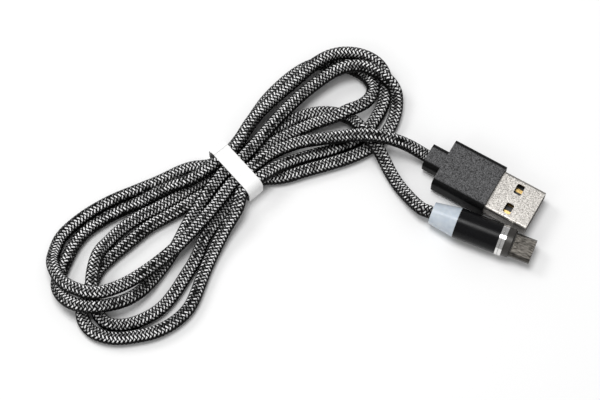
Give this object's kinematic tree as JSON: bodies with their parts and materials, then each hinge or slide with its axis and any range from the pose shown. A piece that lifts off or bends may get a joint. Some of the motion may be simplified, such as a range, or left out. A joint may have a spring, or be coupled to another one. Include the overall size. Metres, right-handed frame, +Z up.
{
  "type": "charging cable",
  "caption": "Braided charging cable in a banded hank, with a USB-A plug at one end and a pull-off magnetic micro-USB tip at the other.",
  "frame": {"origin": "bottom centre of the box round the two connectors and the band, on the surface the cable lies on", "axes": "+X from the band towards the connectors, +Y across, +Z up from the surface"},
  "size_m": [0.1336, 0.0845, 0.0123],
  "materials": {
    "charcoal_case": "charcoal anodised aluminium, fine satin blast",
    "nickel": "nickel-plated pressed steel",
    "dark_nickel": "dark nickel-plated pressed steel",
    "bright_ring": "polished bright plating",
    "magnet": "nickel-plated magnet",
    "black_gloss": "gloss black lacquered tube",
    "tip_grey": "dark grey satin metal",
    "clear_sleeve": "milky pale blue clear plastic",
    "white_plastic": "white moulded plastic",
    "mould_plastic": "pale moulding resin",
    "black_plastic": "black moulded plastic",
    "gold": "gold-plated contact",
    "crimp_steel": "crimped steel",
    "spring_steel": "drawn spring wire",
    "braid": "black glossy braid with silver-white flecks",
    "band": "plain white matte strap",
    "red_core": "red core insulation",
    "black_core": "black core insulation",
    "board": "green solder mask",
    "lamp": "small clear lamp"
  },
  "bodies": {
    "cable": {"usb_housing": "charcoal_case", "usb_neck": "charcoal_case", "usb_shell": "nickel", "usb_tongue": "white_plastic", "usb_contacts": "gold", "usb_inner_mould": "mould_plastic", "usb_cable_clamp": "crimp_steel", "usb_supply_wire": "red_core", "usb_return_wire": "black_core", "cable_hank_left": "braid", "cable_hank_right": "braid", "cable_usb_lead": "braid", "cable_tip_lead": "braid", "tie_band": "band", "mag_sleeve": "clear_sleeve", "mag_housing": "black_gloss", "mag_rim": "bright_ring", "contact_insulator": "black_plastic", "pin_barrel": "gold", "pin_spring": "spring_steel", "circuit_board": "board", "indicator_lamp": "lamp", "mag_inner_mould": "mould_plastic", "mag_cable_clamp": "crimp_steel", "mag_supply_wire": "red_core", "mag_return_wire": "black_core"},
    "magnet": {"ring_magnet": "magnet"},
    "pin": {"contact_pin": "gold"},
    "tip": {"tip_ring": "bright_ring", "tip_base": "tip_grey", "tip_pad_insulator": "black_plastic", "tip_contact_pad": "gold", "micro_shell": "dark_nickel", "micro_tongue": "black_plastic", "micro_contacts": "gold"},
    "latch_left": {"latch_left": "spring_steel"},
    "latch_right": {"latch_right": "spring_steel"}
  },
  "joints": [
    {"name": "tip_swivel", "type": "hinge", "parent": "cable", "child": "magnet", "pos_m": [0.03186, -0.01003, 0.0043], "axis": [0.9239, -0.3827, 0], "continuous": true},
    {"name": "tip_pull", "type": "slide", "parent": "magnet", "child": "tip", "axis": [0.9239, -0.3827, 0], "range_m": [0, 0.02]},
    {"name": "pin_press", "type": "slide", "parent": "cable", "child": "pin", "axis": [0.9239, -0.3827, 0], "range_m": [-0.0006, 0], "stiffness_N_per_m": 400},
    {"name": "latch_left_press", "type": "hinge", "parent": "tip", "child": "latch_left", "pos_m": [0.03755, -0.00989, 0.00378], "axis": [-0.3827, -0.9239, 0], "range_deg": [0, 4.5], "stiffness_Nm_per_rad": 0.03},
    {"name": "latch_right_press", "type": "hinge", "parent": "tip", "child": "latch_right", "pos_m": [0.03579, -0.01414, 0.00378], "axis": [-0.3827, -0.9239, 0], "range_deg": [0, 4.5], "stiffness_Nm_per_rad": 0.03}
  ]
}
